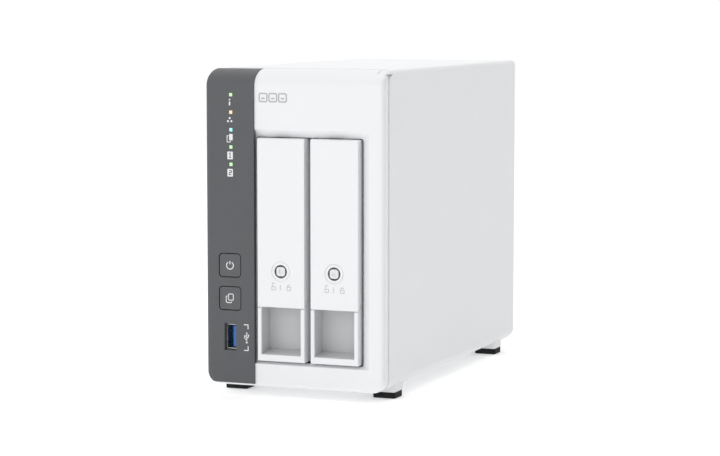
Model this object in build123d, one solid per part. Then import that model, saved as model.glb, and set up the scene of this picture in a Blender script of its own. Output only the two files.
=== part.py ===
from build123d import *
import os
from math import hypot, radians, sin, tan

os.makedirs("parts", exist_ok=True)

# All sizes are in millimetres. X runs to the right seen from the front, Y to the rear, Z up.
# The origin is on the surface that the feet stand on, under the middle of the case.
# Heights in this file are measured from the underside of the case, and block() adds BASE to them.

# ---- the case ----
WIDTH, DEPTH, HEIGHT = 102.0, 220.0, 169.2
PAD_THICK, BOSS_DROP = 3.5, 2.0
BASE = PAD_THICK + BOSS_DROP
WALL = 2.2
LEFT, RIGHT = -WIDTH / 2, WIDTH / 2
FRONT, REAR = -DEPTH / 2, DEPTH / 2
PANEL_PROUD = 0.8                         # the dark panel stands this far in front of the bezel
BEZEL_FACE = FRONT + PANEL_PROUD
BROW_REACH, BROW_DROP = 14.0, 8.8         # the elliptical rounding along the top front edge
BROW_THIN = 0.8                           # the dark panel is this much thinner on top of the brow
BOTTOM_CORNER = 7.0                       # bottom corners of the outline seen from the front
FRONT_ROUND = 2.4                         # rounding round the front and along the top edges
BEZEL_REAR = -104.0
GROOVE_REAR = -101.4                      # shadow groove between bezel and side panels
GROOVE_DEEP = 1.4
SIDE_CORNER = 5.0                         # top front corner of the side shell, seen from the side
EDGE_BAND = 6.0                           # the cover runs forward to the bezel along both top edges
CAP_REAR = -87.0                          # the bezel reaches this far back over the top
FIT_GAP = 0.1                             # play between pieces that sit in each other
DIP_LONG, DIP_DEEP = 6.0, 0.5             # the cap dips towards the seam under the cover's edge
SEAM = 0.35                               # gap of a visible seam
LIP_LOW, LIP_REAR = 167.3, 99.2           # lip of the cover over the side shell
SIDE_TOP = 167.0

# ---- the front ----
PANEL_RIGHT, PANEL_LOW = -22.7, 1.2
PANEL_THICK, BACKING = 3.0, 2.0
OPEN_RIGHT, OPEN_LOW, OPEN_TOP = 38.2, 13.4, 133.45
FLARE_RIGHT, FLARE_LOW, FLARE_TOP, FLARE_DEEP = 4.3, 1.1, 4.3, 3.7
LED_X, LED_SIDE = -36.05, 1.85
LED_HEIGHTS = {"status": 155.6, "network": 146.3, "usb": 137.0, "drive_1": 127.8, "drive_2": 118.6}
BUTTON_X, BUTTON_SIDE, BUTTON_ROUND, BUTTON_GAP = -36.96, 12.3, 1.8, 0.4
POWER_HIGH, COPY_HIGH = 64.6, 46.85
BUTTON_TRAVEL = 1.0
USB_X, USB_HIGH = -36.9, 26.1
USB_SHELL = (5.8, 13.2)                   # outer size of a USB-A shell standing on its side
USB_SLOT = (6.9, 14.6)
SHEET = 0.3                               # sheet metal of the small sockets

# ---- trays, levers, locks ----
TRAY_CENTRES = {"left": -7.4, "right": 23.1}
TRAY_WIDE, TRAY_LOW, TRAY_TOP = 27.0, 14.2, 133.05
LEVER_LOW, LEVER_REAR, SLOPE = 42.8, -101.0, 35.0
LEVER_GAP, LEVER_WALL = 0.4, 1.9
PIVOT_Y, PIVOT_HIGH, PIN_R, RUNNING = -107.2, 129.6, 1.1, 0.05
TRAY_WALL_Y = -98.4                       # front of the tray's inner wall
POCKET_SIDE, POCKET_LOW = 2.1, 17.6
LOCK_HIGH, LOCK_SEAT_R, COLLAR_R, PLUG_SIDE, PLUG_ROUND = 62.4, 5.35, 3.6, 4.9, 1.5
PLATE_THICK, RAIL_HIGH, KEEL_HALF, KEEL_HIGH = 1.5, 5.0, 1.8, 3.0

# ---- 3.5-inch drives ----
DRIVE_THICK, DRIVE_TALL, DRIVE_LONG = 26.1, 101.6, 147.0
DRIVE_LOW, DRIVE_FRONT = 22.8, -94.0
DRIVE_REAR = DRIVE_FRONT + DRIVE_LONG
DRIVE_HOLE_PITCH, DRIVE_HOLE_SPREAD, DRIVE_FIRST_HOLE = 44.45, 95.25, 41.28

# ---- inside ----
CAGE_X, CAGE_Y, CAGE_Z, CAGE_SHEET = (-23.7, 38.0), (-103.6, 76.0), (10.0, 137.2), 1.0
BOARD_X, BOARD_THICK = -39.9, 1.6         # component face of the main board
BACKPLANE_Y = 58.0
SENSE_BOARD_Y = -97.6                     # front face of the indicator board
FAN_X, FAN_HIGH, FAN_SIDE, FAN_DEEP, FAN_BORE_R = 12.5, 92.0, 70.0, 25.0, 33.4
FAN_HOLE_PITCH, HUB_R, BLADE_R, BLADES = 61.5, 14.0, 32.4, 7
SHAFT_R, BEARING_R = 1.5, 3.4
REAR_FACE = REAR - 1.4
FAN_Y = REAR_FACE - WALL - FAN_DEEP       # front face of the fan
REAR_X = -33.2                            # centre line of the rear sockets
JACK_HIGH, USB_REAR_HIGHS, LAN_HIGHS = 17.0, (36.0, 54.0), (75.0, 95.0)
RESET_HIGH, LOCK_SLOT_HIGH = 111.0, 126.0
LAN_WIDE, LAN_TALL, LAN_DEEP = 16.0, 13.4, 21.3
SCREW_R, HEAD_R, HEAD_HIGH = 1.5, 2.8, 1.3
HEAD_SINK = 0.8                           # the drive screws' heads sit this deep in the tray's plate

# ---- feet, vents, posts and rear fittings ----
FOOT_XS, FOOT_YS, FOOT_SIZE, FOOT_ROUND = (-43.1, 43.1), (-83.5, 84.7), (12.9, 11.3), 1.2
CAGE_POST_XS, CAGE_POST_YS = (-17.2, 7.8, 32.8), (-92.0, 66.0)
BOARD_POST_PLACES = ((-88.0, 52.0), (-88.0, 122.0), (48.0, 14.0), (50.0, 122.0))
CASE_SCREW_PLACES = ((-45.2, 150.0), (45.2, 150.0), (-45.2, 14.0), (45.2, 14.0))
POST_HALF, POST_LONG = 3.4, 9.0
VENT_ROWS, VENT_PITCH, VENT_FIRST_Y, VENT_XS = 10, 7.0, -40.0, (-12.0, 14.0)
VENT_WIDE, VENT_LONG = 2.6, 20.0
GRILLE_PITCH, GRILLE_HOLE_R, GRILLE_EDGE = 5.4, 2.6, 2.2
JACK_R, JACK_BORE_R, JACK_PIN_R, JACK_DEEP = 4.2, 3.1, 1.0, 14.0
RESET_Y, RESET_HOLE_R = 103.0, 1.1
LOCK_SLOT = (7.0, 3.0)
USB_DEEP, USB_RECESS, USB_TONGUE, USB_TONGUE_SHIFT = 15.0, 2.4, 1.84, 1.45
USB_TONGUE_WIDE, USB_ROOT_DEEP = 11.1, 4.0
LAN_PLUG_DEEP, LAN_MOUTH, LAN_MOUTH_LOW = 13.0, (7.8, 11.9), 2.6
LAN_LATCH = (1.7, 6.2)                    # depth and width of the notch for the plug's latch
SOCKET_PROUD = 0.2                        # the rear sockets stand this far out of the rear panel

# ---- boards ----
MAIN_BOARD_FRONT, MAIN_BOARD_Z = -92.0, (6.0, 134.0)
USB_TONGUE_BOARD_FRONT, USB_TONGUE_BOARD_Z = -105.0, (8.0, 37.0)
FAN_LEAD_NOTCH_Y, FAN_LEAD_NOTCH_LOW = (60.0, 84.0), 112.0
CPU_Y, CPU_HIGH, CPU_SIDE, CPU_THICK = -4.0, 70.0, 24.0, 2.0
SINK_SIDE, SINK_BASE, SINK_TALL, FIN_PITCH, FIN_THICK, FINS = 34.0, 2.4, 11.0, 4.0, 1.3, 9
MEMORY_Y, MEMORY_PITCH, MEMORY_HIGH, MEMORY_SIZE = -20.0, 13.0, 104.0, (10.0, 8.0)
CHIP_THICK = 1.2
CHIPS = ((-62.0, 74.0, 14.0, 14.0), (56.0, 84.0, 9.0, 9.0), (-48.0, 24.0, 12.0, 16.0))
COIL_Y, COIL_PITCH, COIL_HIGH, COIL_SIDE, COIL_TALL = 30.0, 11.0, 22.0, 8.0, 4.0
CAN_HIGH, CAN_R, CAN_TALL = 38.0, 3.1, 8.5
CELL_Y, CELL_HIGH, CELL_R, CELL_THICK, CELL_HOLDER_SIDE = -56.0, 112.0, 10.0, 3.2, 22.0
INDICATOR_BOARD_X, INDICATOR_BOARD_Z = (-45.5, -27.0), (40.0, 160.0)
BACKPLANE_Z, BACKPLANE_WINDOW_Z, BACKPLANE_WINDOW_WIDE = (14.0, 100.0), (78.0, 94.0), 10.0

# ---- places that follow from the above ----
TRAY_RAIL_TOP = DRIVE_LOW + DRIVE_TALL + RAIL_HIGH
BEZEL_BACK_Y = FRONT + PANEL_THICK + BACKING
FLANGE_Y = FRONT + PANEL_THICK + 0.2
SWITCH_TIP_Y = SENSE_BOARD_Y - 3.6
LOCK_BOSS_REAR = FRONT + 6.4
LOCK_SEAT_DEEP, LOCK_SEAT_WIDE = 0.4, 0.35 # ring groove round the lock
PLUG_R, KEY_SIDE, KEY_DEEP = 2.8, 2.0, 0.5
CAM_REACH, CAM_WIDE, CAM_THICK = (2.2, 8.0), 4.4, 1.3
BUTTON_FLANGE, BUTTON_POCKET, STEM_R = 14.6, 15.6, 2.0
LENS_FLANGE, LENS_PLAY = 3.6, 0.1
SWITCH_SIDE, SWITCH_TALL, SWITCH_TIP_R = 6.0, 2.6, 1.7
LUG_WIDE, LUG_R = 8.0, 1.8
EDGE_ROUND = 0.35
LEVER_TOP_R, LEVER_NOSE_R = 5.0, 1.2
LID_THICK = 1.4
CONNECTOR_LOW, CONNECTOR_LONG, CONNECTOR_THICK, CONNECTOR_DEEP = 27.0, 42.0, 5.4, 6.0
CONNECTOR_X = -DRIVE_THICK / 2 + 3.5
DRIVE_BOARD_FIELD, DRIVE_BOARD_DEEP = ((-50.0, 47.0), (40.0, 106.0)), 1.6
DRIVE_CHIPS = ((-20.0, 50.0, 12.0), (0.0, 66.0, 9.0), (-38.0, 78.0, 7.0))
DRIVE_HOLE_DEEP = 4.5
CAGE_WINDOW_YS, CAGE_WINDOW_ZS, CAGE_WINDOW = (-72.0, -39.0, -6.0, 27.0), (40.0, 74.0, 108.0), (22.0, 20.0)
CAGE_POST_R, BOARD_POST_R = 3.6, 3.0
GUIDE_WIDE, GUIDE_PLAY = 13.0, 0.6
TRAY_WINDOW_Z, TRAY_WINDOW_LONG, TRAY_WINDOW_PITCH, TRAY_WINDOWS = (44.0, 104.0), 32.0, 48.0, 3
FAN_HUB_DEEP, FAN_ARM_WIDE, FAN_ARM_ANGLES = 3.5, 3.4, (30, 150, 270)
ROTOR_DEEP, CUP_WALL, BLADE_PITCH, BLADE_THICK = 19.0, 1.6, 42, 1.4
CUT = 1.0                                 # how far a cutting shape runs past the face it cuts

parts = {}


# ---- shape helpers ----

def block(x, y, z):
    """A box between pairs of x, y and height."""
    size = [high - low for low, high in (x, y, z)]
    middle = [(low + high) / 2 for low, high in (x, y, z)]
    return Pos(middle[0], middle[1], middle[2] + BASE) * Box(*size)


def around(middle, size):
    """The pair of limits of a span."""
    return (middle - size / 2, middle + size / 2)


def rod_x(x, y, height, radius):
    """A cylinder along X between a pair of x values."""
    return Pos((x[0] + x[1]) / 2, y, height + BASE) * Rot(0, 90, 0) * Cylinder(radius, x[1] - x[0])


def rod_y(x, y, height, radius):
    """A cylinder along Y between a pair of y values."""
    return Pos(x, (y[0] + y[1]) / 2, height + BASE) * Rot(90, 0, 0) * Cylinder(radius, y[1] - y[0])


def rod_z(x, y, z, radius):
    """A cylinder along Z between a pair of heights."""
    return Pos(x, y, (z[0] + z[1]) / 2 + BASE) * Cylinder(radius, z[1] - z[0])


def eased(solid, axis, radius):
    """The solid with its edges along one axis rounded."""
    return fillet(solid.edges().filter_by(axis), radius)


def profile_x(points, x):
    """A polygon of (y, height) points, extruded between two x values."""
    outline = Polyline(*[(x[0], y, height + BASE) for y, height in points], close=True)
    return extrude(make_face(outline), x[1] - x[0], dir=(1, 0, 0))


def screw(length):
    """A pan-head screw with a cross recess: its head sits on the XY plane and its shank hangs below."""
    head = Pos(0, 0, HEAD_HIGH / 2) * Cylinder(HEAD_R, HEAD_HIGH)
    head = fillet(head.faces().sort_by(Axis.Z)[-1].edges(), HEAD_HIGH * 0.7)
    for angle in (0, 90):
        head -= Pos(0, 0, HEAD_HIGH) * Rot(0, 0, angle) * Box(HEAD_R * 1.1, 0.6, HEAD_HIGH * 1.3)
    return head + Pos(0, 0, -length / 2) * Cylinder(SCREW_R, length)


def screw_in(x, y, height, turn, length):
    """A screw with its head's seat at a point, turned from pointing down."""
    return Pos(x, y, height + BASE) * Rot(*turn) * screw(length)


TO_FRONT, TO_RIGHT, DOWN = (-90, 0, 0), (0, -90, 0), (0, 0, 0)


# ---- the outer form, which the shells are cut from ----

def outer_form(front):
    """The whole closed case: rounded outline, the brow, and one rounding that runs right round the front."""
    outline = block((LEFT, RIGHT), (front, REAR), (0, HEIGHT))
    outline = fillet(outline.edges().filter_by(Axis.Y).group_by(Axis.Z)[0], BOTTOM_CORNER)
    form = outline & side_profile(front, HEIGHT)
    return fillet(form.edges().filter_by(Axis.Z).group_by(Axis.Y)[0], FRONT_ROUND)


def side_profile(front, top):
    """The case seen from the side, with its elliptical brow, extruded across its width."""
    brow = EllipticalCenterArc((front + BROW_REACH, top - BROW_DROP), BROW_REACH, BROW_DROP, 90, arc_size=90)
    rest = Polyline((front, top - BROW_DROP), (front, 0), (REAR, 0), (REAR, top), (front + BROW_REACH, top))
    face = make_face(Curve() + [brow, rest])
    return Pos(0, 0, BASE) * extrude(Plane.YZ.offset(LEFT) * face, WIDTH)


def inner_form(inset, y):
    """A block inside the case, inset from its walls, with the same rounded bottom corners."""
    core = block((LEFT + inset, RIGHT - inset), y, (inset, HEIGHT - inset))
    return fillet(core.edges().filter_by(Axis.Y).group_by(Axis.Z)[0], BOTTOM_CORNER - inset)


def groove_web():
    """The recessed band between the bezel and the shells."""
    y = (BEZEL_REAR, GROOVE_REAR)
    return inner_form(GROOVE_DEEP, y) - inner_form(WALL, (y[0] - 1, y[1] + 1))


def flared_opening():
    """The mouth that the trays go in through, with its slanting edges."""
    mouth = block((PANEL_RIGHT, OPEN_RIGHT), (FRONT - 1, BEZEL_REAR + 20), (OPEN_LOW, OPEN_TOP))
    inner = [(PANEL_RIGHT, OPEN_LOW), (OPEN_RIGHT, OPEN_LOW), (OPEN_RIGHT, OPEN_TOP), (PANEL_RIGHT, OPEN_TOP)]
    wide = FLARE_RIGHT
    outer = [(PANEL_RIGHT, OPEN_LOW - FLARE_LOW), (OPEN_RIGHT + wide, OPEN_LOW - FLARE_LOW),
             (OPEN_RIGHT + wide, OPEN_TOP + FLARE_TOP), (PANEL_RIGHT, OPEN_TOP + FLARE_TOP)]
    near = make_face(Polyline(*[(x, BEZEL_FACE, z + BASE) for x, z in outer], close=True))
    far = make_face(Polyline(*[(x, BEZEL_FACE + FLARE_DEEP, z + BASE) for x, z in inner], close=True))
    mouth = fillet(mouth.edges().filter_by(Axis.Y).group_by(Axis.X)[-1], 1.5)
    return mouth + loft([near, far])


def panel_field(depth, gap=0.0):
    """The region that the dark panel takes up, to a depth behind the front, brow included."""
    y = (FRONT - CUT, FRONT + BROW_REACH - gap)
    field = block((LEFT - CUT, PANEL_RIGHT - gap), y, (PANEL_LOW + gap, HEIGHT + CUT))
    return field - side_profile(FRONT + depth, HEIGHT - depth * BROW_THIN)


def make_front_bezel():
    """The white face and brow: the tray opening, the dark panel's recess and the cap behind the brow."""
    form = outer_form(BEZEL_FACE)
    front = form & block((LEFT, RIGHT), (FRONT, BEZEL_REAR), (0, HEIGHT))
    cap_x = (LEFT + EDGE_BAND, RIGHT - EDGE_BAND)
    cap = form & block(cap_x, (BEZEL_REAR, CAP_REAR), (HEIGHT - WALL, HEIGHT))
    brow = form & block(cap_x, (BEZEL_REAR, FRONT + BROW_REACH), (HEIGHT - BROW_DROP, HEIGHT))
    bezel = front + cap + brow
    low_part = block((LEFT, RIGHT), (FRONT, REAR), (0, HEIGHT - BROW_DROP - 1))
    bezel -= inner_form(WALL, (FRONT + PANEL_THICK + BACKING, 0)) & low_part
    bezel -= inner_form(WALL, (FRONT + 10, 0))
    dip = [(CAP_REAR - DIP_LONG, HEIGHT + 0.01), (CAP_REAR + CUT, HEIGHT + 0.01),
           (CAP_REAR + CUT, HEIGHT - DIP_DEEP), (CAP_REAR, HEIGHT - DIP_DEEP)]
    bezel -= profile_x(dip, cap_x)
    bezel -= flared_opening()
    bezel -= panel_field(PANEL_THICK)
    for high in (POWER_HIGH, COPY_HIGH):
        bezel -= block(around(BUTTON_X, BUTTON_POCKET), (FRONT, 0), around(high, BUTTON_POCKET))
    for high in LED_HEIGHTS.values():
        bezel -= block(around(LED_X, LED_SIDE + 0.6), (FRONT, 0), around(high, LED_SIDE + 0.6))
    bezel -= block(around(USB_X, USB_SLOT[0]), (FRONT, 0), around(USB_HIGH, USB_SLOT[1]))
    return bezel


def make_front_panel():
    """The dark panel, with windows for the lenses and the USB socket and holes for the buttons."""
    form = outer_form(FRONT)
    panel = form & panel_field(PANEL_THICK - FIT_GAP, FIT_GAP)
    for high in (POWER_HIGH, COPY_HIGH):
        side = BUTTON_SIDE + 2 * BUTTON_GAP
        hole = block(around(BUTTON_X, side), (FRONT - 1, 0), around(high, side))
        panel -= eased(hole, Axis.Y, BUTTON_ROUND + BUTTON_GAP)
    for high in LED_HEIGHTS.values():
        panel -= block(around(LED_X, LED_SIDE), (FRONT - 1, 0), around(high, LED_SIDE))
    panel -= block(around(USB_X, USB_SLOT[0]), (FRONT - 1, 0), around(USB_HIGH, USB_SLOT[1]))
    return panel


def make_top_cover():
    """The left wall and the top in one piece, with a lip down over the side shell."""
    form = outer_form(BEZEL_FACE)
    wall = form & block((LEFT, LEFT + WALL), (GROOVE_REAR, REAR), (BOTTOM_CORNER, HEIGHT))
    top = form & block((LEFT, RIGHT), (CAP_REAR + SEAM, REAR), (HEIGHT - WALL, HEIGHT))
    lip = form & block((RIGHT - WALL, RIGHT), (GROOVE_REAR, LIP_REAR), (LIP_LOW, HEIGHT))
    web = groove_web() & block((LEFT, LEFT + WALL), (BEZEL_REAR, REAR), (BOTTOM_CORNER, HEIGHT))
    cover = wall + top + lip + web
    for x in ((LEFT, LEFT + EDGE_BAND - SEAM), (RIGHT - EDGE_BAND + SEAM, RIGHT)):
        cover += form & block(x, (BEZEL_REAR, CAP_REAR + 1), (HEIGHT - WALL, HEIGHT))
    for x, z in CASE_SCREW_PLACES:
        if x < 0:
            cover += screw_post(x, z)
            cover -= rod_y(x, (REAR_FACE - WALL - POST_LONG - 1, REAR), z, SCREW_R)
    return cover - panel_field(PANEL_THICK)


def screw_post(x, z):
    """A block on a side wall that takes one of the rear screws."""
    wall = (RIGHT - WALL + 0.1) * (1 if x > 0 else -1)
    span = sorted((wall, x - POST_HALF if x > 0 else x + POST_HALF))
    return block(span, (REAR_FACE - WALL - POST_LONG, REAR_FACE - WALL), around(z, 2 * POST_HALF))


def make_side_shell():
    """The right wall and the underside in one piece, with the bosses that the feet sit on."""
    form = outer_form(BEZEL_FACE)
    hollow = inner_form(WALL, (FRONT, REAR + 1))
    side = form & block((RIGHT - WALL, RIGHT), (GROOVE_REAR, REAR), (BOTTOM_CORNER, SIDE_TOP))
    corner = block((RIGHT - WALL - 1, RIGHT + 1), (GROOVE_REAR, REAR), (-1, SIDE_TOP))
    side &= fillet(corner.edges().filter_by(Axis.X).group_by(Axis.Z)[-1].group_by(Axis.Y)[0], SIDE_CORNER)
    base = (form & block((LEFT, RIGHT), (GROOVE_REAR, REAR), (0, BOTTOM_CORNER))) - hollow
    web = groove_web() & block((LEFT, RIGHT), (BEZEL_REAR, REAR), (0, BOTTOM_CORNER))
    web += groove_web() & block((0, RIGHT), (BEZEL_REAR, REAR), (BOTTOM_CORNER, SIDE_TOP - 0.4))
    corner_y, corner_z = (GROOVE_REAR - 0.5, GROOVE_REAR + SIDE_CORNER), (SIDE_TOP - 9, SIDE_TOP - 0.4)
    web += block((RIGHT - WALL, RIGHT - GROOVE_DEEP), corner_y, corner_z)
    shell = side + base + web
    for x, z in CASE_SCREW_PLACES:
        if x > 0:
            shell += screw_post(x, z)
            shell -= rod_y(x, (REAR_FACE - WALL - POST_LONG - 1, REAR), z, SCREW_R)
    for x in FOOT_XS:
        for y in FOOT_YS:
            boss_z = (-BOSS_DROP, BOTTOM_CORNER - 1)
            boss = block(around(x, FOOT_SIZE[0]), around(y, FOOT_SIZE[1] + 2), boss_z)
            shell += eased(boss, Axis.Z, FOOT_ROUND) - hollow
    for x in CAGE_POST_XS:
        for y in CAGE_POST_YS:
            shell += rod_z(x, y, (WALL - 0.2, CAGE_Z[0]), CAGE_POST_R)
            shell -= rod_z(x, y, (WALL + 1, CAGE_Z[0] + 1), SCREW_R)
    for row in range(VENT_ROWS):
        for x in VENT_XS:
            y = around(VENT_FIRST_Y + row * VENT_PITCH, VENT_WIDE)
            vent = block(around(x, VENT_LONG), y, (-CUT, WALL + CUT))
            shell -= eased(vent, Axis.Z, VENT_WIDE / 2.05)
    return shell


def make_rear_panel():
    """The back wall: fan grille, socket cut-outs, reset hole and security lock slot."""
    y = (REAR_FACE - WALL, REAR_FACE)
    through = (y[0] - CUT, y[1] + CUT)
    panel = inner_form(WALL, y) - grille_holes(through)
    for x, z in fan_hole_places():
        panel -= rod_y(x, through, z, SCREW_R + 0.1)
    panel -= rod_y(REAR_X, through, JACK_HIGH, JACK_R + 0.2)
    for high in USB_REAR_HIGHS:
        panel -= block(around(REAR_X, USB_SHELL[0] + 0.4), through, around(high, USB_SHELL[1] + 0.4))
    for high in LAN_HIGHS:
        panel -= block(around(REAR_X, LAN_TALL + 0.2), through, around(high, LAN_WIDE + 0.2))
    panel -= rod_y(REAR_X, through, RESET_HIGH, RESET_HOLE_R)
    slot = block(around(REAR_X, LOCK_SLOT[0]), through, around(LOCK_SLOT_HIGH, LOCK_SLOT[1]))
    panel -= eased(slot, Axis.Y, 1.0)
    for x, z in CASE_SCREW_PLACES:
        panel -= rod_y(x, through, z, SCREW_R)
    return panel


def grille_holes(y):
    """The hexagonal holes in front of the fan's bore, in a staggered grid."""
    holes = []
    reach = int(FAN_BORE_R / GRILLE_PITCH) + 2
    for column in range(-reach, reach + 1):
        for row in range(-reach, reach + 1):
            across = column * GRILLE_PITCH * sin(radians(60))
            up = (row + 0.5 * (column % 2)) * GRILLE_PITCH
            if hypot(across, up) < FAN_BORE_R - GRILLE_EDGE:
                spot = Plane.XZ * Pos(FAN_X + across, FAN_HIGH + up + BASE)
                hexagon = spot * RegularPolygon(GRILLE_HOLE_R, 6)
                holes.append(Pos(0, y[0], 0) * extrude(hexagon, y[1] - y[0], dir=(0, 1, 0)))
    return holes


def fan_hole_places():
    """(x, height) of the fan's four mounting holes."""
    half = FAN_HOLE_PITCH / 2
    return [(FAN_X + i * half, FAN_HIGH + k * half) for i in (-1, 1) for k in (-1, 1)]


def make_rubber_feet():
    """Four pads with a chamfered tread, one under each boss."""
    pads = []
    for x in FOOT_XS:
        for y in FOOT_YS:
            pad = block(around(x, FOOT_SIZE[0]), around(y, FOOT_SIZE[1]), (-BASE, -BOSS_DROP))
            pad = eased(pad, Axis.Z, FOOT_ROUND)
            pads.append(chamfer(pad.faces().sort_by(Axis.Z)[0].edges(), 0.4))
    return Compound(children=pads)


def group(solids):
    """Several solids that share one node."""
    return Compound(children=solids)


# ---- inside the case ----

def make_drive_cage():
    """A folded sheet-steel tube that the trays slide in, open at the front and the rear."""
    cage = block(CAGE_X, CAGE_Y, CAGE_Z)
    inner_x = (CAGE_X[0] + CAGE_SHEET, CAGE_X[1] - CAGE_SHEET)
    inner_z = (CAGE_Z[0] + CAGE_SHEET, CAGE_Z[1] - CAGE_SHEET)
    cage -= block(inner_x, (CAGE_Y[0] - 1, CAGE_Y[1] + 1), inner_z)
    across = (CAGE_X[0] - CUT, CAGE_X[1] + CUT)
    for y in CAGE_WINDOW_YS:
        for z in CAGE_WINDOW_ZS:
            cage -= eased(block(across, around(y, CAGE_WINDOW[0]), around(z, CAGE_WINDOW[1])), Axis.X, 4)
    for x in CAGE_POST_XS:
        for y in CAGE_POST_YS:
            cage -= rod_z(x, y, (CAGE_Z[0] - 1, CAGE_Z[0] + CAGE_SHEET + 1), SCREW_R)
    for y, z in BOARD_POST_PLACES:
        cage += rod_x((BOARD_X, CAGE_X[0] + 0.2), y, z, BOARD_POST_R)
        cage -= rod_x((BOARD_X - 1, CAGE_X[0] - 2), y, z, SCREW_R)
    return cage


def make_tray_guides():
    """Plastic channels on the cage's floor and ceiling, one pair for each tray."""
    guides = []
    y = (TRAY_WALL_Y + 3.0, BACKPLANE_Y - 4)
    groove_deep = KEEL_HIGH + GUIDE_PLAY / 2
    floor = (CAGE_Z[0] + CAGE_SHEET, DRIVE_LOW - RAIL_HIGH - GUIDE_PLAY)
    ceiling = (TRAY_RAIL_TOP + GUIDE_PLAY, CAGE_Z[1] - CAGE_SHEET)
    grooves = ((floor, (floor[1] - groove_deep, floor[1] + CUT)),
               (ceiling, (ceiling[0] - CUT, ceiling[0] + groove_deep)))
    for centre in TRAY_CENTRES.values():
        groove_x = around(centre, 2 * KEEL_HALF + GUIDE_PLAY)
        for z, groove_z in grooves:
            guide = block(around(centre, GUIDE_WIDE), y, z)
            guides.append(guide - block(groove_x, (y[0] - CUT, y[1] + CUT), groove_z))
    return group(guides)


def make_backplane():
    """The board across the cage's rear that the drives plug into."""
    y = (BACKPLANE_Y, BACKPLANE_Y + BOARD_THICK)
    board = block((CAGE_X[0] + CAGE_SHEET, CAGE_X[1] - CAGE_SHEET), y, BACKPLANE_Z)
    for centre in TRAY_CENTRES.values():
        window_x = around(centre + 3, BACKPLANE_WINDOW_WIDE)
        board -= block(window_x, (y[0] - CUT, y[1] + CUT), BACKPLANE_WINDOW_Z)
    return board


def make_sata_sockets():
    """One socket on the backplane for each drive, with the tongue that enters the drive's connector."""
    sockets = []
    for centre in TRAY_CENTRES.values():
        x = around(centre + CONNECTOR_X, CONNECTOR_THICK)
        body = block(x, (DRIVE_REAR + 0.6, BACKPLANE_Y), (CONNECTOR_LOW, CONNECTOR_LOW + CONNECTOR_LONG))
        tongue_z = (CONNECTOR_LOW + 2.5, CONNECTOR_LOW + CONNECTOR_LONG - 2.5)
        tongue = block(around(centre + CONNECTOR_X, 1.2), (DRIVE_REAR - 2.6, DRIVE_REAR + 1), tongue_z)
        sockets.append(body + tongue)
    return group(sockets)


def make_main_board():
    """An upright board beside the cage, with a tongue forward to the front USB socket."""
    x = (BOARD_X - BOARD_THICK, BOARD_X)
    through = (x[0] - CUT, x[1] + CUT)
    board = block(x, (MAIN_BOARD_FRONT, REAR_FACE - WALL - 0.6), MAIN_BOARD_Z)
    board += block(x, (USB_TONGUE_BOARD_FRONT, MAIN_BOARD_FRONT + 1), USB_TONGUE_BOARD_Z)
    board -= block(through, FAN_LEAD_NOTCH_Y, (FAN_LEAD_NOTCH_LOW, MAIN_BOARD_Z[1] + CUT))
    for y, z in BOARD_POST_PLACES:
        board -= rod_x(through, y, z, SCREW_R)
    return board


def make_board_chips():
    """Memory, flash, controllers, coils and capacitors on the main board's component face."""
    chips = [on_board(CPU_Y, CPU_HIGH, CPU_SIDE, CPU_SIDE, CPU_THICK)]
    for k in range(4):
        chips.append(on_board(MEMORY_Y + k * MEMORY_PITCH, MEMORY_HIGH, *MEMORY_SIZE, CHIP_THICK))
    for y, z, long, tall in CHIPS:
        chips.append(on_board(y, z, long, tall, CHIP_THICK))
    for k in range(3):
        y = COIL_Y + k * COIL_PITCH
        chips.append(eased(on_board(y, COIL_HIGH, COIL_SIDE, COIL_SIDE, COIL_TALL), Axis.X, 1.5))
        chips.append(rod_x((BOARD_X, BOARD_X + CAN_TALL), y + 1, CAN_HIGH, CAN_R))
    chips.append(block((BOARD_X, BOARD_X + 3.6), (RESET_Y - 4.5, RESET_Y), around(RESET_HIGH, 6)))
    return group(chips)


def on_board(y, high, long, tall, thick):
    """A block that lies on the main board's component face."""
    return block((BOARD_X, BOARD_X + thick), around(y, long), around(high, tall))


def make_heat_sink():
    """A finned block on the processor."""
    low = BOARD_X + CPU_THICK
    y = around(CPU_Y, SINK_SIDE)
    sink = block((low, low + SINK_BASE), y, around(CPU_HIGH, SINK_SIDE))
    for k in range(FINS):
        z = CPU_HIGH + (k - (FINS - 1) / 2) * FIN_PITCH
        sink += block((low + 2, low + SINK_TALL), y, around(z, FIN_THICK))
    return sink


def make_coin_cell():
    """The clock's cell and the holder that it lies in."""
    low = BOARD_X + 0.6
    holder = on_board(CELL_Y, CELL_HIGH, CELL_HOLDER_SIDE, CELL_HOLDER_SIDE, 1.6)
    holder -= rod_x((low, low + CELL_THICK), CELL_Y, CELL_HIGH, CELL_R + 0.1)
    return holder, rod_x((low, low + CELL_THICK), CELL_Y, CELL_HIGH, CELL_R)


def make_lan_socket(high):
    """A shielded network socket: a box with a stepped mouth in its rear face."""
    y = (REAR_FACE + SOCKET_PROUD - LAN_DEEP, REAR_FACE + SOCKET_PROUD)
    x = (BOARD_X, BOARD_X + LAN_TALL)
    mouth_x = (x[0] + LAN_MOUTH_LOW, x[0] + LAN_MOUTH_LOW + LAN_MOUTH[0])
    mouth_y = (y[1] - LAN_PLUG_DEEP, y[1] + CUT)
    latch_x = (mouth_x[1] - 0.1, mouth_x[1] - 0.1 + LAN_LATCH[0])
    socket = block(x, y, around(high, LAN_WIDE)) - block(mouth_x, mouth_y, around(high, LAN_MOUTH[1]))
    return socket - block(latch_x, mouth_y, around(high, LAN_LATCH[1]))


def make_usb_shell(x, y, high):
    """The metal shell of a USB-A socket that stands on its side, open at one end."""
    shell = block(around(x, USB_SHELL[0]), y, around(high, USB_SHELL[1]))
    wide, tall = USB_SHELL[0] - 2 * SHEET, USB_SHELL[1] - 2 * SHEET
    return eased(shell, Axis.Y, 0.6) - block(around(x, wide), (y[0] - CUT, y[1] + CUT), around(high, tall))


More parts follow.
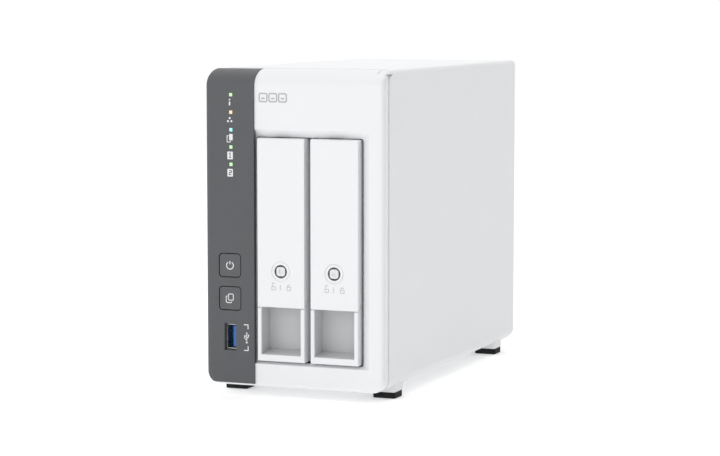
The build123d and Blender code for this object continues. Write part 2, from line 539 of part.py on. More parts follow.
def usb_tongue(x, y, high, step):
    """The plastic tongue and its root inside a USB-A shell; step is the way the root lies from the mouth."""
    tongue = block(around(x + USB_TONGUE_SHIFT, USB_TONGUE), y, around(high, USB_TONGUE_WIDE))
    root = (y[1] - USB_ROOT_DEEP, y[1]) if step > 0 else (y[0], y[0] + USB_ROOT_DEEP)
    wide, tall = USB_SHELL[0] - 2 * SHEET - 0.1, USB_SHELL[1] - 2 * SHEET - 0.1
    return tongue + block(around(x, wide), root, around(high, tall))


def make_power_jack():
    """A round low-voltage socket with a centre pin."""
    y = (REAR_FACE + SOCKET_PROUD - JACK_DEEP, REAR_FACE + SOCKET_PROUD)
    body = block((BOARD_X, REAR_X + 4.6), (y[0], REAR_FACE - WALL - 0.2), around(JACK_HIGH, 9.0))
    body += rod_y(REAR_X, (y[0] + 4, y[1]), JACK_HIGH, JACK_R)
    body -= rod_y(REAR_X, (y[1] - 9.5, y[1] + 1), JACK_HIGH, JACK_BORE_R)
    return body + rod_y(REAR_X, (y[1] - 10, y[1] - 1), JACK_HIGH, JACK_PIN_R)


def make_indicator_board():
    """The upright board behind the dark panel."""
    y = (SENSE_BOARD_Y, SENSE_BOARD_Y + BOARD_THICK)
    return block(INDICATOR_BOARD_X, y, INDICATOR_BOARD_Z)


def make_tact_switches():
    """The two push switches on the indicator board."""
    pieces = []
    for high in (POWER_HIGH, COPY_HIGH):
        y = (SENSE_BOARD_Y - SWITCH_TALL, SENSE_BOARD_Y)
        case = block(around(BUTTON_X, SWITCH_SIDE), y, around(high, SWITCH_SIDE))
        pieces.append(case + rod_y(BUTTON_X, (SWITCH_TIP_Y, SENSE_BOARD_Y - 2), high, SWITCH_TIP_R))
    return group(pieces)


def make_lens(high):
    """A clear light pipe from the indicator board to the face of the dark panel."""
    side = LED_SIDE - LENS_PLAY
    pipe = block(around(LED_X, side), (FRONT + 0.1, SENSE_BOARD_Y - 0.9), around(high, side))
    flange_y = (BEZEL_BACK_Y + 0.1, BEZEL_BACK_Y + 1.4)
    return pipe + block(around(LED_X, LENS_FLANGE), flange_y, around(high, LENS_FLANGE))


def make_button(high):
    """A square cap flush with the panel, its retaining flange, and a stem to the switch."""
    cap = block(around(BUTTON_X, BUTTON_SIDE), (FRONT + 0.1, FLANGE_Y + 0.3), around(high, BUTTON_SIDE))
    cap = eased(cap, Axis.Y, BUTTON_ROUND)
    cap = fillet(cap.faces().sort_by(Axis.Y)[0].edges(), EDGE_ROUND)
    flange = block(around(BUTTON_X, BUTTON_FLANGE), (FLANGE_Y, FLANGE_Y + 1.0), around(high, BUTTON_FLANGE))
    stem_y = (FLANGE_Y + 0.5, SWITCH_TIP_Y - 0.1 - BUTTON_TRAVEL)
    return cap + flange + rod_y(BUTTON_X, stem_y, high, STEM_R)


def make_reset_button():
    """A thin pin behind its hole in the rear panel."""
    return rod_y(REAR_X, (RESET_Y + 0.7, REAR_FACE - 0.6), RESET_HIGH, RESET_HOLE_R - 0.3)


def make_fan_frame():
    """A square frame with a round bore, and three arms that hold the hub with the bearing."""
    y = (FAN_Y, FAN_Y + FAN_DEEP)
    frame = eased(block(around(FAN_X, FAN_SIDE), y, around(FAN_HIGH, FAN_SIDE)), Axis.Y, 5)
    frame -= rod_y(FAN_X, (y[0] - 1, y[1] + 1), FAN_HIGH, FAN_BORE_R)
    for x, z in fan_hole_places():
        frame -= rod_y(x, (y[0] - 1, y[1] + 1), z, SCREW_R)
    hub_y = (y[1] - 0.5 - FAN_HUB_DEEP, y[1] - 0.5)
    frame += rod_y(FAN_X, hub_y, FAN_HIGH, HUB_R)
    arm_y = (hub_y[0] + 0.5, hub_y[1])
    arm = block((FAN_X, FAN_X + FAN_BORE_R + 1), arm_y, around(FAN_HIGH, FAN_ARM_WIDE))
    for angle in FAN_ARM_ANGLES:
        frame += turned_about_fan(arm, angle)
    frame += rod_y(FAN_X, (y[0] + 6, y[1] - 1), FAN_HIGH, BEARING_R + 1.6)
    return frame - rod_y(FAN_X, (y[0] + 5, y[1] - 2), FAN_HIGH, BEARING_R)


def turned_about_fan(shape, angle):
    """A shape turned about the fan's axis."""
    return Pos(FAN_X, 0, FAN_HIGH + BASE) * Rot(0, angle, 0) * Pos(-FAN_X, 0, -FAN_HIGH - BASE) * shape


def make_fan_bearing():
    """A bronze sleeve in the hub's post."""
    y = (FAN_Y + 6.5, FAN_Y + FAN_DEEP - 2.5)
    sleeve = rod_y(FAN_X, y, FAN_HIGH, BEARING_R)
    return sleeve - rod_y(FAN_X, (y[0] - CUT, y[1] + CUT), FAN_HIGH, SHAFT_R + RUNNING)


def make_fan_rotor():
    """A cup with its shaft, and seven pitched blades."""
    y = (FAN_Y + 1.0, FAN_Y + 1.0 + ROTOR_DEEP)
    cup = rod_y(FAN_X, y, FAN_HIGH, HUB_R)
    cup -= rod_y(FAN_X, (y[0] + CUP_WALL, y[1] + CUT), FAN_HIGH, HUB_R - CUP_WALL)
    blade = Pos(FAN_X + (HUB_R + BLADE_R) / 2, (y[0] + y[1]) / 2, FAN_HIGH + BASE)
    blade *= Rot(BLADE_PITCH, 0, 0) * Box(BLADE_R - HUB_R + 8, 24, BLADE_THICK)
    fan = cup
    for k in range(BLADES):
        fan += turned_about_fan(blade, 360 * k / BLADES)
    sweep_ring = rod_y(FAN_X, (y[0] + 0.5, y[1] - 0.5), FAN_HIGH, BLADE_R)
    core = rod_y(FAN_X, (y[0] - 5, y[1] + 5), FAN_HIGH, HUB_R - 1)
    blades_only = (fan - core) & sweep_ring
    return blades_only + cup + rod_y(FAN_X, (y[0] + 1, y[1] + 1.5), FAN_HIGH, SHAFT_R)


# ---- one tray, with its lever, lock and drive ----

def seam_high(y, extra=0.0):
    """The height of the slanting seam between the lever and the tray's lower frame."""
    return LEVER_LOW + (y - FRONT) * tan(radians(SLOPE)) + extra


def make_tray_frame(centre):
    """Side plate, rails with keels, inner wall, lower frame with the finger pocket, and the lever's lug."""
    plate_x = (centre - DRIVE_THICK / 2 - PLATE_THICK, centre - DRIVE_THICK / 2)
    rail_x = (plate_x[0], centre + DRIVE_THICK / 2)
    wide = around(centre, TRAY_WIDE)
    long = (TRAY_WALL_Y, DRIVE_REAR + 1)
    frame = block(plate_x, long, (DRIVE_LOW - RAIL_HIGH, TRAY_RAIL_TOP))
    for k in range(TRAY_WINDOWS):
        start = DRIVE_FRONT + 8 + k * TRAY_WINDOW_PITCH
        window = block((plate_x[0] - CUT, plate_x[1] + CUT), (start, start + TRAY_WINDOW_LONG), TRAY_WINDOW_Z)
        frame -= eased(window, Axis.X, 4)
    rail_low = DRIVE_LOW - RAIL_HIGH
    keel_x, keel_y = around(centre, 2 * KEEL_HALF), (TRAY_WALL_Y + 2, long[1])
    frame += block(rail_x, long, (rail_low, DRIVE_LOW))
    frame += block(rail_x, long, (DRIVE_LOW + DRIVE_TALL, TRAY_RAIL_TOP))
    frame += block(keel_x, keel_y, (rail_low - KEEL_HIGH, rail_low))
    frame += block(keel_x, keel_y, (TRAY_RAIL_TOP, TRAY_RAIL_TOP + KEEL_HIGH))
    frame += block(wide, (TRAY_WALL_Y, TRAY_WALL_Y + 2.4), (TRAY_LOW, TRAY_TOP))
    top_low = seam_high(TRAY_WALL_Y, -LEVER_GAP)
    lower = profile_x([(FRONT, TRAY_LOW), (TRAY_WALL_Y + 1, TRAY_LOW), (TRAY_WALL_Y + 1, top_low),
                       (FRONT, seam_high(FRONT, -LEVER_GAP))], wide)
    lower = fillet(lower.faces().sort_by(Axis.Y)[0].edges(), EDGE_ROUND)
    pocket_x = (wide[0] + POCKET_SIDE, wide[1] - POCKET_SIDE)
    frame += lower
    frame -= block(pocket_x, (FRONT - CUT, TRAY_WALL_Y), (POCKET_LOW, top_low + 9))
    for hole_y, hole_z in drive_hole_places():
        frame -= rod_x((plate_x[0] - 1, plate_x[1] + 1), hole_y, hole_z, SCREW_R + 0.1)
        frame -= rod_x((plate_x[0] - 1, plate_x[0] + HEAD_SINK), hole_y, hole_z, HEAD_R + 0.2)
    lug = block(around(centre, LUG_WIDE), (PIVOT_Y, TRAY_WALL_Y + 1), around(PIVOT_HIGH, 2 * LUG_R))
    frame += lug + rod_x(around(centre, LUG_WIDE), PIVOT_Y, PIVOT_HIGH, LUG_R)
    return frame - rod_x(around(centre, LUG_WIDE + 2), PIVOT_Y, PIVOT_HIGH, PIN_R)


def make_tray_lever(centre):
    """A hollow handle: front skin, cheeks at the sides, rounded top, and a boss round the lock."""
    wide = around(centre, TRAY_WIDE)
    top_round = CenterArc((LEVER_REAR - LEVER_TOP_R, TRAY_TOP - LEVER_TOP_R), LEVER_TOP_R, 0, 90)
    nose = CenterArc((FRONT + LEVER_NOSE_R, TRAY_TOP - LEVER_NOSE_R), LEVER_NOSE_R, 90, 90)
    lines = Polyline((FRONT, TRAY_TOP - LEVER_NOSE_R), (FRONT, LEVER_LOW),
                     (LEVER_REAR, seam_high(LEVER_REAR)), (LEVER_REAR, TRAY_TOP - LEVER_TOP_R))
    crown = Line((LEVER_REAR - LEVER_TOP_R, TRAY_TOP), (FRONT + LEVER_NOSE_R, TRAY_TOP))
    face = make_face(Curve() + [top_round, nose, lines, crown])
    lever = Pos(0, 0, BASE) * extrude(Plane.YZ.offset(wide[0]) * face, TRAY_WIDE)
    lever = fillet(lever.faces().sort_by(Axis.Y)[0].edges().group_by(Axis.Z)[:-1], EDGE_ROUND)
    inside_x = (wide[0] + LEVER_WALL, wide[1] - LEVER_WALL)
    skin, rear, crown_low = FRONT + LEVER_WALL, LEVER_REAR + CUT, PIVOT_HIGH - 4.5
    lever -= profile_x([(skin, seam_high(skin, LEVER_WALL)), (rear, seam_high(rear, LEVER_WALL)),
                        (rear, crown_low), (skin, crown_low)], inside_x)
    lever -= block(around(centre, LUG_WIDE + 0.8), (FRONT + 0.8, rear), (PIVOT_HIGH - 5, PIVOT_HIGH + 2.6))
    lever -= block(around(centre, LUG_WIDE + 0.8), (PIVOT_Y - 0.8, rear), (PIVOT_HIGH - 5, TRAY_TOP + 1))
    lever -= rod_x((wide[0] + 1, wide[1] - 1), PIVOT_Y, PIVOT_HIGH, PIN_R + RUNNING)
    lever += rod_y(centre, (FRONT + 1, LOCK_BOSS_REAR), LOCK_HIGH, LOCK_SEAT_R + 0.4)
    groove = rod_y(centre, (FRONT - CUT, FRONT + LOCK_SEAT_DEEP), LOCK_HIGH, LOCK_SEAT_R)
    lever -= groove - rod_y(centre, (FRONT - 2 * CUT, FRONT + CUT), LOCK_HIGH, LOCK_SEAT_R - LOCK_SEAT_WIDE)
    return lever - rod_y(centre, (FRONT - 1, LOCK_BOSS_REAR + 1), LOCK_HIGH, COLLAR_R)


def make_lever_pin(centre):
    """The steel pin through the lever's cheeks and the tray's lug."""
    return rod_x(around(centre, TRAY_WIDE - 2.6), PIVOT_Y, PIVOT_HIGH, PIN_R)


def make_lock_collar(centre):
    """The dark ring round the lock's plug."""
    ring = rod_y(centre, (FRONT + 0.1, LOCK_BOSS_REAR), LOCK_HIGH, COLLAR_R)
    return ring - rod_y(centre, (FRONT - 1, LOCK_BOSS_REAR + 1), LOCK_HIGH, PLUG_R + RUNNING)


def make_lock_plug(centre):
    """A square head with a key recess, on a round barrel with a cam behind."""
    head = block(around(centre, PLUG_SIDE), (FRONT, FRONT + 1.6), around(LOCK_HIGH, PLUG_SIDE))
    plug = eased(head, Axis.Y, PLUG_ROUND) & rod_y(centre, (FRONT - 1, FRONT + 3), LOCK_HIGH, PLUG_R)
    plug += rod_y(centre, (FRONT + 1.4, LOCK_BOSS_REAR + 1.6), LOCK_HIGH, PLUG_R)
    plug -= block(around(centre, KEY_SIDE), (FRONT - CUT, FRONT + KEY_DEEP), around(LOCK_HIGH, KEY_SIDE))
    cam_x = (centre - CAM_REACH[0], centre + CAM_REACH[1])
    cam_y = (LOCK_BOSS_REAR + 0.3, LOCK_BOSS_REAR + 0.3 + CAM_THICK)
    return plug + eased(block(cam_x, cam_y, around(LOCK_HIGH, CAM_WIDE)), Axis.Y, 2.0)


def drive_hole_places():
    """(y, height) of the four screws that hold a drive to its tray's plate."""
    first = DRIVE_FRONT + DRIVE_FIRST_HOLE
    middle, half = DRIVE_LOW + DRIVE_TALL / 2, DRIVE_HOLE_SPREAD / 2
    return [(first + k * DRIVE_HOLE_PITCH, middle + s * half) for k in (0, 1) for s in (-1, 1)]


def drive_span(centre):
    """The x limits of a drive."""
    return around(centre, DRIVE_THICK)


def make_drive_body(centre):
    """The cast tub of a 3.5-inch drive, with a recess for its circuit board and a notch for its connector."""
    x = drive_span(centre)
    body = block((x[0], x[1] - LID_THICK), (DRIVE_FRONT, DRIVE_REAR), (DRIVE_LOW, DRIVE_LOW + DRIVE_TALL))
    body = eased(body, Axis.X, 1.6)
    body -= block((x[0] - CUT, x[0] + DRIVE_BOARD_DEEP), *DRIVE_BOARD_FIELD)
    notch_z = (CONNECTOR_LOW - 1, CONNECTOR_LOW + CONNECTOR_LONG + 1)
    body -= block((x[0] - CUT, x[0] + 6.8), (DRIVE_REAR - CONNECTOR_DEEP, DRIVE_REAR + CUT), notch_z)
    body -= rod_x((x[0] - 1, x[0] + 0.8), DRIVE_FRONT + 66, DRIVE_LOW + 50, 14)
    for y, z in drive_hole_places():
        body -= rod_x((x[0] - CUT, x[0] + DRIVE_HOLE_DEEP), y, z, SCREW_R)
    return body


def make_drive_lid(centre):
    """The pressed lid: a raised field inside a lower rim."""
    x = drive_span(centre)
    y, z = (DRIVE_FRONT + 1.5, DRIVE_REAR - 1.5), (DRIVE_LOW + 1.5, DRIVE_LOW + DRIVE_TALL - 1.5)
    lid = eased(block((x[1] - LID_THICK, x[1] - 0.5), y, z), Axis.X, 5)
    field = block((x[1] - 0.6, x[1]), (y[0] + 6, y[1] - 30), (z[0] + 6, z[1] - 6))
    return lid + eased(field, Axis.X, 14) + rod_x((x[1] - 0.6, x[1]), y[1] - 16, z[0] + 22, 9)


def make_drive_board(centre):
    """The drive's circuit board in its recess, with three chips."""
    x = drive_span(centre)
    field_y, field_z = DRIVE_BOARD_FIELD
    board_y, board_z = (field_y[0] + 0.5, field_y[1] - 0.5), (field_z[0] + 0.5, field_z[1] - 0.5)
    board = block((x[0] + 0.5, x[0] + DRIVE_BOARD_DEEP), board_y, board_z)
    for y, z, size in DRIVE_CHIPS:
        board += block((x[0] + 0.1, x[0] + 0.6), around(y, size), around(z, size))
    return board


def make_drive_connector(centre):
    """The drive's data and power plug, with the slot that takes the backplane's tongue."""
    x = around(centre + CONNECTOR_X, CONNECTOR_THICK)
    z = (CONNECTOR_LOW, CONNECTOR_LOW + CONNECTOR_LONG)
    plug = block(x, (DRIVE_REAR - CONNECTOR_DEEP, DRIVE_REAR), z)
    slot_x = around(centre + CONNECTOR_X, 2.0)
    return plug - block(slot_x, (DRIVE_REAR - 3.6, DRIVE_REAR + CUT), (z[0] + 2, z[1] - 2))


def make_drive_screws(centre):
    """Four screws through the tray's plate into the drive."""
    seat = centre - DRIVE_THICK / 2 - PLATE_THICK + HEAD_SINK
    length = PLATE_THICK - HEAD_SINK + 3.6
    return group([screw_in(seat, y, z, TO_RIGHT, length) for y, z in drive_hole_places()])


# ---- screws ----

def make_case_screws():
    """Four screws that hold the rear panel to the shells."""
    return group([screw_in(x, REAR_FACE, z, TO_FRONT, 5.0) for x, z in CASE_SCREW_PLACES])


def make_fan_screws():
    """Four screws that hold the fan to the rear panel."""
    return group([screw_in(x, REAR_FACE, z, TO_FRONT, 9.0) for x, z in fan_hole_places()])


def make_board_screws():
    """Four screws that hold the main board to the cage's posts."""
    return group([screw_in(BOARD_X - BOARD_THICK, y, z, TO_RIGHT, 6.0) for y, z in BOARD_POST_PLACES])


def make_cage_screws():
    """Six screws that hold the cage to the posts on the case's floor."""
    floor = CAGE_Z[0] + CAGE_SHEET
    return group([screw_in(x, y, floor, DOWN, 6.0) for x in CAGE_POST_XS for y in CAGE_POST_YS])


# ---- the assembly ----

def build_case():
    """The shells, the cage and what is fixed to them."""
    parts["front_bezel"] = make_front_bezel()
    parts["front_panel"] = make_front_panel()
    parts["top_cover"] = make_top_cover()
    parts["side_shell"] = make_side_shell()
    parts["rear_panel"] = make_rear_panel()
    parts["rubber_feet"] = make_rubber_feet()
    parts["drive_cage"] = make_drive_cage()
    parts["tray_guides"] = make_tray_guides()
    parts["backplane_board"] = make_backplane()
    parts["sata_sockets"] = make_sata_sockets()
    parts["case_screws"] = make_case_screws()
    parts["cage_screws"] = make_cage_screws()
    for name, high in LED_HEIGHTS.items():
        parts[f"{name}_lens"] = make_lens(high)


def build_electronics():
    """The boards, the sockets and the buttons."""
    parts["main_board"] = make_main_board()
    parts["board_chips"] = make_board_chips()
    parts["board_screws"] = make_board_screws()
    parts["heat_sink"] = make_heat_sink()
    parts["cell_holder"], parts["coin_cell"] = make_coin_cell()
    for number, high in enumerate(LAN_HIGHS, 1):
        parts[f"lan_socket_{number}"] = make_lan_socket(high)
    rear_y = (REAR_FACE + SOCKET_PROUD - USB_DEEP, REAR_FACE + SOCKET_PROUD)
    parts["rear_usb_shells"] = group([make_usb_shell(REAR_X, rear_y, high) for high in USB_REAR_HIGHS])
    tongue_y = (rear_y[0], rear_y[1] - 0.6)
    parts["rear_usb_tongues"] = group([usb_tongue(REAR_X, tongue_y, high, -1) for high in USB_REAR_HIGHS])
    front_y = (FRONT + USB_RECESS, FRONT + USB_RECESS + USB_DEEP)
    parts["front_usb_shell"] = make_usb_shell(USB_X, front_y, USB_HIGH)
    parts["front_usb_tongue"] = usb_tongue(USB_X, (front_y[0] + 0.6, front_y[1]), USB_HIGH, 1)
    parts["power_jack"] = make_power_jack()
    parts["indicator_board"] = make_indicator_board()
    parts["tact_switches"] = make_tact_switches()
    parts["power_button"] = make_button(POWER_HIGH)
    parts["copy_button"] = make_button(COPY_HIGH)
    parts["reset_button"] = make_reset_button()


def build_fan():
    """The rear fan."""
    parts["fan_frame"] = make_fan_frame()
    parts["fan_bearing"] = make_fan_bearing()
    parts["fan_rotor"] = make_fan_rotor()
    parts["fan_screws"] = make_fan_screws()


def build_trays():
    """The two trays with their levers, locks and drives."""
    for side, centre in TRAY_CENTRES.items():
        parts[f"{side}_tray_frame"] = make_tray_frame(centre)
        parts[f"{side}_tray_lever"] = make_tray_lever(centre)
        parts[f"{side}_lever_pin"] = make_lever_pin(centre)
        parts[f"{side}_lock_collar"] = make_lock_collar(centre)
        parts[f"{side}_lock_plug"] = make_lock_plug(centre)
        parts[f"{side}_drive_body"] = make_drive_body(centre)
        parts[f"{side}_drive_lid"] = make_drive_lid(centre)
        parts[f"{side}_drive_board"] = make_drive_board(centre)
        parts[f"{side}_drive_connector"] = make_drive_connector(centre)
        parts[f"{side}_drive_screws"] = make_drive_screws(centre)


build_case()
build_electronics()
build_fan()
build_trays()
for name, shape in parts.items():
    export_step(shape, f"parts/{name}.step")
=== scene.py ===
"""A two-bay network attached storage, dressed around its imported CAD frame.

Metres, +X right, -Y front, +Z up.
"""
import math

import bpy
import bmesh
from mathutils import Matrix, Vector


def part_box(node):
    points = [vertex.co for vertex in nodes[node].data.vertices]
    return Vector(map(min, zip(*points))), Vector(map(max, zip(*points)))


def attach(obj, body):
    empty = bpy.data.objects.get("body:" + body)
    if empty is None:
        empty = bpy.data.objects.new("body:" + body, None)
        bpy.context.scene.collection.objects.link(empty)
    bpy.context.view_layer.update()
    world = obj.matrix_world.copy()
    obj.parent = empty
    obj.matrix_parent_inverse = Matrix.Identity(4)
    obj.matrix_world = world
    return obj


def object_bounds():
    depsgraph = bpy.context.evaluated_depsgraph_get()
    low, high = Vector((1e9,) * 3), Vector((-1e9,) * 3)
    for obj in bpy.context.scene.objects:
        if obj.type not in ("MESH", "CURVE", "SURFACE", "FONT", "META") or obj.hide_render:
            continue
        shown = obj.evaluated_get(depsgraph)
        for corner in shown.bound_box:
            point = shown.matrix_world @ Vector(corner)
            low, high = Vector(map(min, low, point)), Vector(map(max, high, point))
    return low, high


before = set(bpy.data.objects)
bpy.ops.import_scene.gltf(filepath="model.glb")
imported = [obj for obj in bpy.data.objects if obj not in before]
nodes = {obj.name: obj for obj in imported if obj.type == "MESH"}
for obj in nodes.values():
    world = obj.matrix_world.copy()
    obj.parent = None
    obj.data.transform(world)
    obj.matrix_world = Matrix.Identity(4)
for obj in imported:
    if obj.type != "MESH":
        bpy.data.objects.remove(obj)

MM = 0.001
cad_low, cad_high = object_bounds()

# ---- camera, seen from the front right and slightly above ----
CAMERA_AZIMUTH, CAMERA_ELEVATION = 21.591, 5.608
CAMERA_PLACE = (0.4905, -1.2541, 0.2136)
CAMERA_LENS, SENSOR_WIDTH = 118.57, 36.0

# ---- surround: strengths in front of the case, from its right, and behind it ----
WORLD_BRIGHT, WORLD_DIM, WORLD_BEHIND = 0.73, 0.08, 1.5
SIDE_FADE, REAR_FADE = (0.45, 1.0), (0.35, 0.75)
FLOOR_GLOW, FLOOR_HALF = 0.30, 6.0
LIGHT_SIZE = 1.6
FRONT_LIGHT_PLACE, FRONT_LIGHT_POWER = (-0.9, -1.6, 1.1), 6.0
TOP_LIGHT_PLACE, TOP_LIGHT_POWER = (0.0, 0.1, 1.9), 9.0

# ---- prints on the dark panel and the levers, in millimetres ----
PRINT_THICK, PRINT_SINK = 0.05, 0.10      # how far the ink stands out, and how far it reaches in
STATUS_LINE, DIGIT_LINE, BUTTON_LINE = 0.4, 0.42, 0.5
BRACKET_IN, BRACKET_OUT, BRACKET_HIGH, BRACKET_TURN = 8.0, 10.4, 6.9, 4.6
BEZEL_MARKS, BEZEL_MARK_FIRST, BEZEL_MARK_PITCH, BEZEL_MARK_WIDE = 3, 3.0, 5.6, 4.4

# ---- the tray's finger pocket, in millimetres ----
TRAY_WIDE, POCKET_SIDE, POCKET_STEP, POCKET_DEEP, POCKET_LIP = 27.0, 2.1, 3.4, 11.6, 0.6
# the finger pocket's grey sheet is painted shade: its thickness, and how far its floor rises towards the back
SEAM_SLOPE, SHADE_SHEET_THICK, SHADE_SHEET_FLOOR_RISE = 35.0, 0.25, 1.6

# ---- contacts and labels, in millimetres ----
LAN_WIRES, LAN_PITCH, LAN_WIRE = 8, 1.02, 0.34
LAN_ROOT_UP, LAN_TIP_UP = 2.55, 5.6       # a wire's root and tip above the socket's low side
LAN_ROOT_IN, LAN_TIP_IN, LAN_WIRE_DEEP = 3.0, 11.0, 0.5
USB_FACE_IN = 3.03                        # from the tongue node's low side to the tongue's bare face
USB_STRIPS, USB_STRIP_PITCH, USB_STRIP_HALF, USB_STRIP_Y = 4, 2.3, 0.5, (1.2, 9.0)
LABEL_INSET, LABEL_SIZE, LABEL_ROUND = 22, (70, 56), 2


# ================= node helpers =================

def new_material(name):
    """A material with one principled shader: the material, its tree and its shader."""
    material = bpy.data.materials.new(name)
    material.use_nodes = True
    tree = material.node_tree
    tree.nodes.clear()
    output = tree.nodes.new("ShaderNodeOutputMaterial")
    shader = tree.nodes.new("ShaderNodeBsdfPrincipled")
    tree.links.new(shader.outputs[0], output.inputs[0])
    return material, tree, shader


def add(tree, kind, **settings):
    """A node with its settings and its unlinked inputs set."""
    node = tree.nodes.new(kind)
    for key, value in settings.items():
        if hasattr(node, key):
            setattr(node, key, value)
        else:
            node.inputs[key].default_value = value
    return node


def place_vector(tree, scale=(1, 1, 1)):
    """Object coordinates in metres, stretched by a scale."""
    coords = tree.nodes.new("ShaderNodeTexCoord")
    mapping = tree.nodes.new("ShaderNodeMapping")
    mapping.inputs["Scale"].default_value = scale
    tree.links.new(coords.outputs["Object"], mapping.inputs["Vector"])
    return mapping.outputs["Vector"]


def noise(tree, scale, detail=4.0, rough=0.6, stretch=(1, 1, 1)):
    """A noise's factor, in object coordinates."""
    node = tree.nodes.new("ShaderNodeTexNoise")
    node.inputs["Scale"].default_value = scale
    node.inputs["Detail"].default_value = detail
    node.inputs["Roughness"].default_value = rough
    tree.links.new(place_vector(tree, stretch), node.inputs["Vector"])
    return node.outputs["Fac"]


def ramp(tree, factor, low, high, start=0.3, end=0.7):
    """A colour that runs from low to high as the factor goes from start to end."""
    node = tree.nodes.new("ShaderNodeValToRGB")
    node.color_ramp.elements[0].position = start
    node.color_ramp.elements[1].position = end
    node.color_ramp.elements[0].color = (*low, 1)
    node.color_ramp.elements[1].color = (*high, 1)
    tree.links.new(factor, node.inputs["Fac"])
    return node.outputs["Color"]


def span(tree, factor, low, high):
    """A number that runs from low to high over the noise's usual range."""
    node = tree.nodes.new("ShaderNodeMapRange")
    node.inputs["From Min"].default_value = 0.3
    node.inputs["From Max"].default_value = 0.7
    node.inputs["To Min"].default_value = low
    node.inputs["To Max"].default_value = high
    tree.links.new(factor, node.inputs["Value"])
    return node.outputs["Result"]


def bump(tree, shader, height, strength, distance):
    """Feeds a height to the shader's normal."""
    node = tree.nodes.new("ShaderNodeBump")
    node.inputs["Strength"].default_value = strength
    node.inputs["Distance"].default_value = distance
    tree.links.new(height, node.inputs["Height"])
    tree.links.new(node.outputs["Normal"], shader.inputs["Normal"])


def scaled(colour, factor):
    """A colour made lighter or darker."""
    return tuple(min(1.0, c * factor) for c in colour)


def moulded(name, colour, rough=0.42, spread=0.03, grain=4200.0, depth=0.05, coat=0.0):
    """Moulded plastic: a fine eroded grain, faint flow marks in its colour, and uneven gloss."""
    material, tree, shader = new_material(name)
    flow = noise(tree, 22.0, 3.0)
    tint = ramp(tree, flow, scaled(colour, 1 - spread), scaled(colour, 1 + spread))
    tree.links.new(tint, shader.inputs["Base Color"])
    fine = noise(tree, grain, 2.0, 0.5)
    gloss = span(tree, noise(tree, 160.0, 3.0), rough - 0.04, rough + 0.05)
    tree.links.new(gloss, shader.inputs["Roughness"])
    bump(tree, shader, fine, 0.35, depth * MM)
    shader.inputs["Coat Weight"].default_value = coat
    return material


def sheet_metal(name, colour, rough=0.32, stretch=(1, 1, 14), grain=600.0):
    """Rolled or plated metal with a directional grain and cloudy gloss."""
    material, tree, shader = new_material(name)
    lines = noise(tree, grain, 5.0, 0.65, stretch)
    cloud = noise(tree, 60.0, 4.0)
    tree.links.new(ramp(tree, cloud, scaled(colour, 0.86), scaled(colour, 1.06)), shader.inputs["Base Color"])
    tree.links.new(span(tree, lines, rough - 0.08, rough + 0.12), shader.inputs["Roughness"])
    shader.inputs["Metallic"].default_value = 1.0
    bump(tree, shader, lines, 0.25, 0.02 * MM)
    return material


def spangled_steel(name):
    """Galvanised sheet: crystals of slightly different greys."""
    material, tree, shader = new_material(name)
    crystals = add(tree, "ShaderNodeTexVoronoi", Scale=190.0)
    tree.links.new(place_vector(tree), crystals.inputs["Vector"])
    grey = ramp(tree, crystals.outputs["Color"], (0.42, 0.43, 0.45), (0.66, 0.67, 0.69), 0.1, 0.9)
    tree.links.new(grey, shader.inputs["Base Color"])
    tree.links.new(span(tree, noise(tree, 300.0), 0.28, 0.46), shader.inputs["Roughness"])
    shader.inputs["Metallic"].default_value = 1.0
    bump(tree, shader, crystals.outputs["Distance"], 0.12, 0.03 * MM)
    return material


def cast_metal(name, colour):
    """Cast aluminium: a dull, pebbled skin."""
    material, tree, shader = new_material(name)
    pebbles = noise(tree, 1400.0, 3.0, 0.55)
    tint = ramp(tree, noise(tree, 90.0), scaled(colour, 0.85), scaled(colour, 1.05))
    tree.links.new(tint, shader.inputs["Base Color"])
    tree.links.new(span(tree, pebbles, 0.42, 0.6), shader.inputs["Roughness"])
    shader.inputs["Metallic"].default_value = 1.0
    bump(tree, shader, pebbles, 0.5, 0.08 * MM)
    return material


def solder_mask(name):
    """A circuit board: green mask over slightly raised copper tracks."""
    material, tree, shader = new_material(name)
    tracks = add(tree, "ShaderNodeTexBrick", Scale=210.0)
    tracks.inputs["Mortar Size"].default_value = 0.035
    tracks.inputs["Color1"].default_value = (0.004, 0.085, 0.036, 1)
    tracks.inputs["Color2"].default_value = (0.006, 0.115, 0.050, 1)
    tracks.inputs["Mortar"].default_value = (0.014, 0.190, 0.085, 1)
    turned = tree.nodes.new("ShaderNodeMapping")
    turned.inputs["Rotation"].default_value = (0.0, math.radians(90), 0.0)
    tree.links.new(place_vector(tree), turned.inputs["Vector"])
    tree.links.new(turned.outputs["Vector"], tracks.inputs["Vector"])
    tree.links.new(tracks.outputs["Color"], shader.inputs["Base Color"])
    tree.links.new(span(tree, noise(tree, 900.0), 0.26, 0.40), shader.inputs["Roughness"])
    shader.inputs["Coat Weight"].default_value = 0.3
    bump(tree, shader, tracks.outputs["Fac"], 0.4, 0.03 * MM)
    return material


def rubber(name):
    """Black rubber: matt, with a fine speck."""
    material, tree, shader = new_material(name)
    speck = noise(tree, 2600.0, 3.0)
    tint = ramp(tree, noise(tree, 260.0), (0.008, 0.008, 0.008), (0.018, 0.018, 0.019))
    tree.links.new(tint, shader.inputs["Base Color"])
    tree.links.new(span(tree, speck, 0.68, 0.88), shader.inputs["Roughness"])
    shader.inputs["Specular IOR Level"].default_value = 0.3
    bump(tree, shader, speck, 0.5, 0.06 * MM)
    return material


